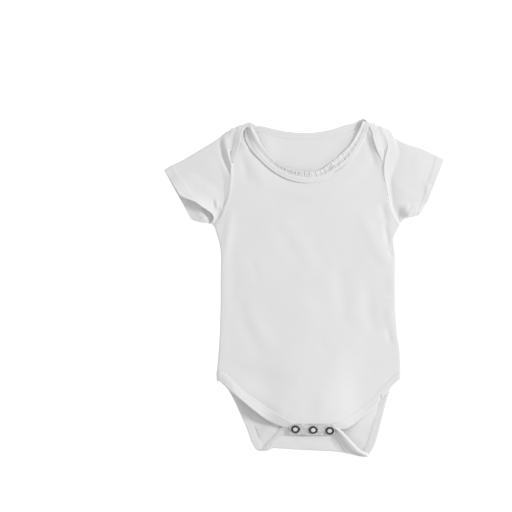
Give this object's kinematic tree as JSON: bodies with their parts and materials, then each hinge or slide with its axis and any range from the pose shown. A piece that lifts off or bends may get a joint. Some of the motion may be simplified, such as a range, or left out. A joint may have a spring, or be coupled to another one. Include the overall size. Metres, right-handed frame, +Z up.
{
  "type": "baby onesie",
  "caption": "Short-sleeved white jersey baby bodysuit with an envelope neck, bound leg openings and a crotch tab fastened by open-ring snaps, laid flat front up.",
  "frame": {"origin": "on the surface the garment lies on, under the middle of its bounding box", "axes": "+Y towards the neck, +X towards the wearer's left sleeve (right in a front view), +Z up from the surface, out of the garment's front"},
  "size_m": [0.3272, 0.3953, 0.0142],
  "materials": {
    "white_jersey": "matt fine cotton knit",
    "snap_metal": "satin nickel plate"
  },
  "bodies": {
    "root": {"front_panel": "white_jersey", "back_panel": "white_jersey", "sleeve_left": "white_jersey", "sleeve_right": "white_jersey", "neck_band_front": "white_jersey", "neck_band_back": "white_jersey", "leg_band_left": "white_jersey", "leg_band_right": "white_jersey", "snap_ring_1": "snap_metal", "snap_ring_2": "snap_metal", "snap_ring_3": "snap_metal"}
  },
  "joints": []
}
